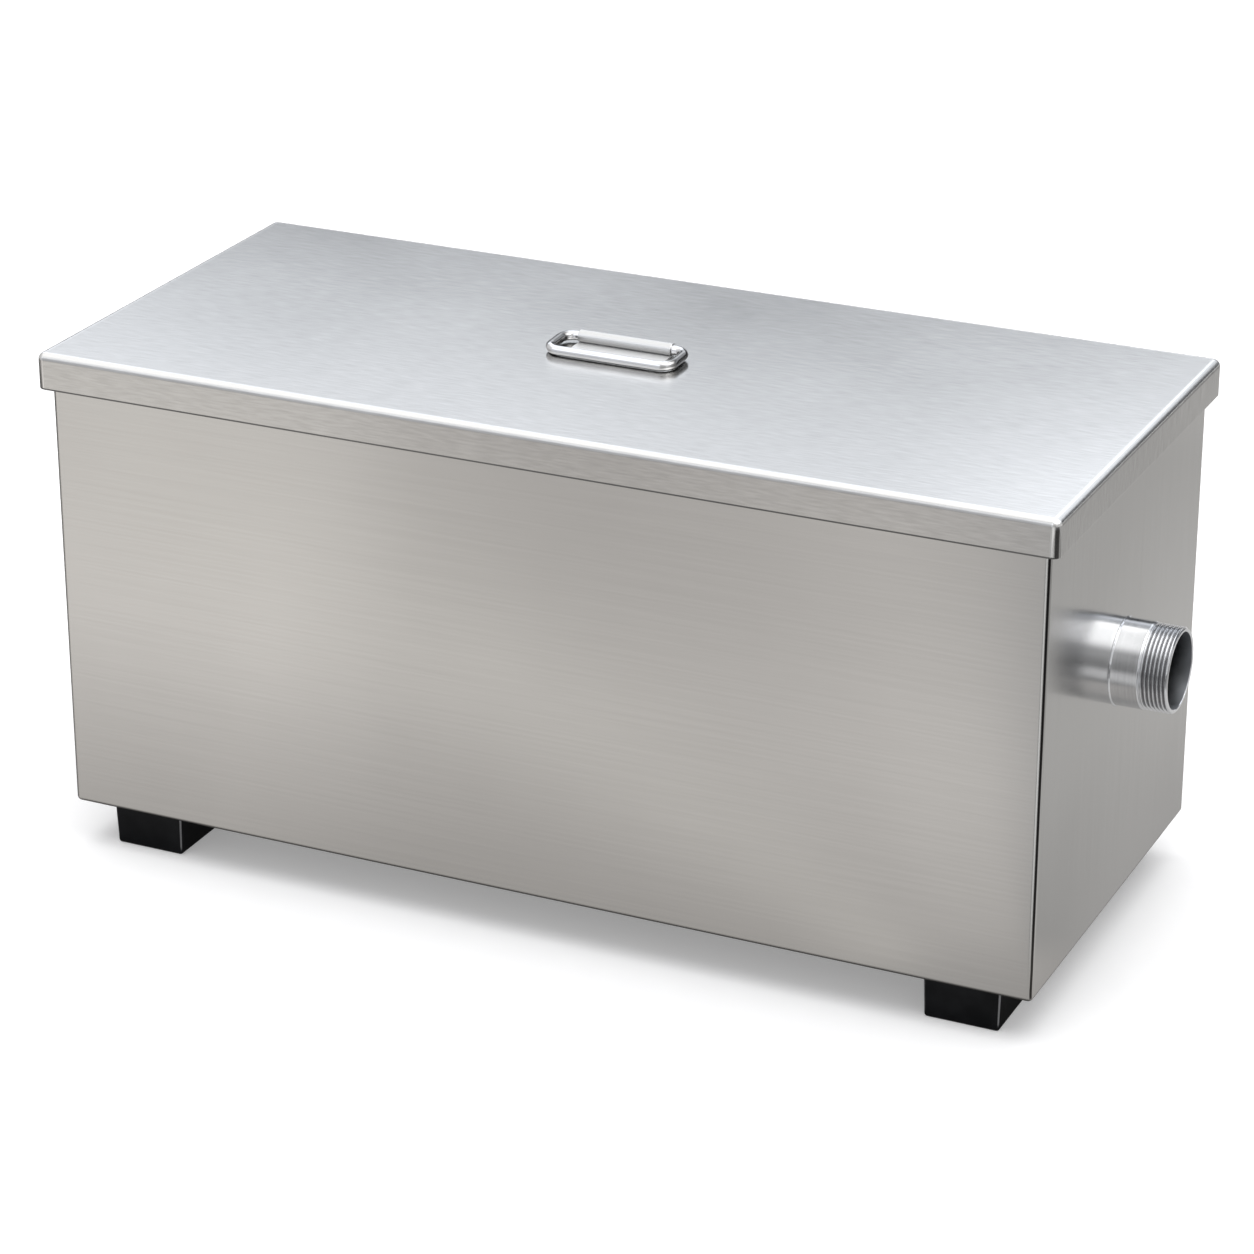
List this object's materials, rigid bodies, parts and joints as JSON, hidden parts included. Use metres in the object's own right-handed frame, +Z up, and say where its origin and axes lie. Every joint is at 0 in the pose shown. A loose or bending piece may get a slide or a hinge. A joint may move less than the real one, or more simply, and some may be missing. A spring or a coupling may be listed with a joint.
{
  "type": "grease trap",
  "caption": "Box-shaped stainless grease trap with a lift-off lid, fold-down ring handle, threaded pipe stubs, strainer basket, baffles and black feet.",
  "frame": {"origin": "on the floor, under the middle of the tank", "axes": "+X towards the outlet stub, +Y towards the back, +Z up"},
  "size_m": [0.652, 0.27, 0.3109],
  "materials": {
    "brushed_sheet": "brushed",
    "inner_sheet": "mill finish",
    "bright_steel": "polished",
    "pipe_steel": "turned",
    "fastener_steel": "plain",
    "seal_rubber": "matt",
    "foot_plastic": "satin"
  },
  "bodies": {
    "tank": {"tank": "brushed_sheet", "inlet_stub": "pipe_steel", "outlet_stub": "pipe_steel", "inlet_baffle": "inner_sheet", "outlet_baffle": "inner_sheet", "basket": "inner_sheet", "basket_handle": "bright_steel", "basket_ledge_front": "inner_sheet", "basket_ledge_back": "inner_sheet", "foot_front_left": "foot_plastic", "foot_front_right": "foot_plastic", "foot_back_left": "foot_plastic", "foot_back_right": "foot_plastic", "foot_studs": "fastener_steel", "foot_washers": "fastener_steel", "foot_nuts": "fastener_steel"},
    "lid": {"lid": "brushed_sheet", "lid_seal": "seal_rubber", "handle_clip": "bright_steel"},
    "handle": {"handle_ring": "bright_steel"}
  },
  "joints": [
    {"name": "lid_lift", "type": "slide", "parent": "tank", "child": "lid", "axis": [0, 0, 1], "range_m": [0, 0.25]},
    {"name": "handle_swing", "type": "hinge", "parent": "lid", "child": "handle", "pos_m": [-0.005, 0.009, 0.30703], "axis": [-1, 0, 0], "range_deg": [0, 176]}
  ]
}
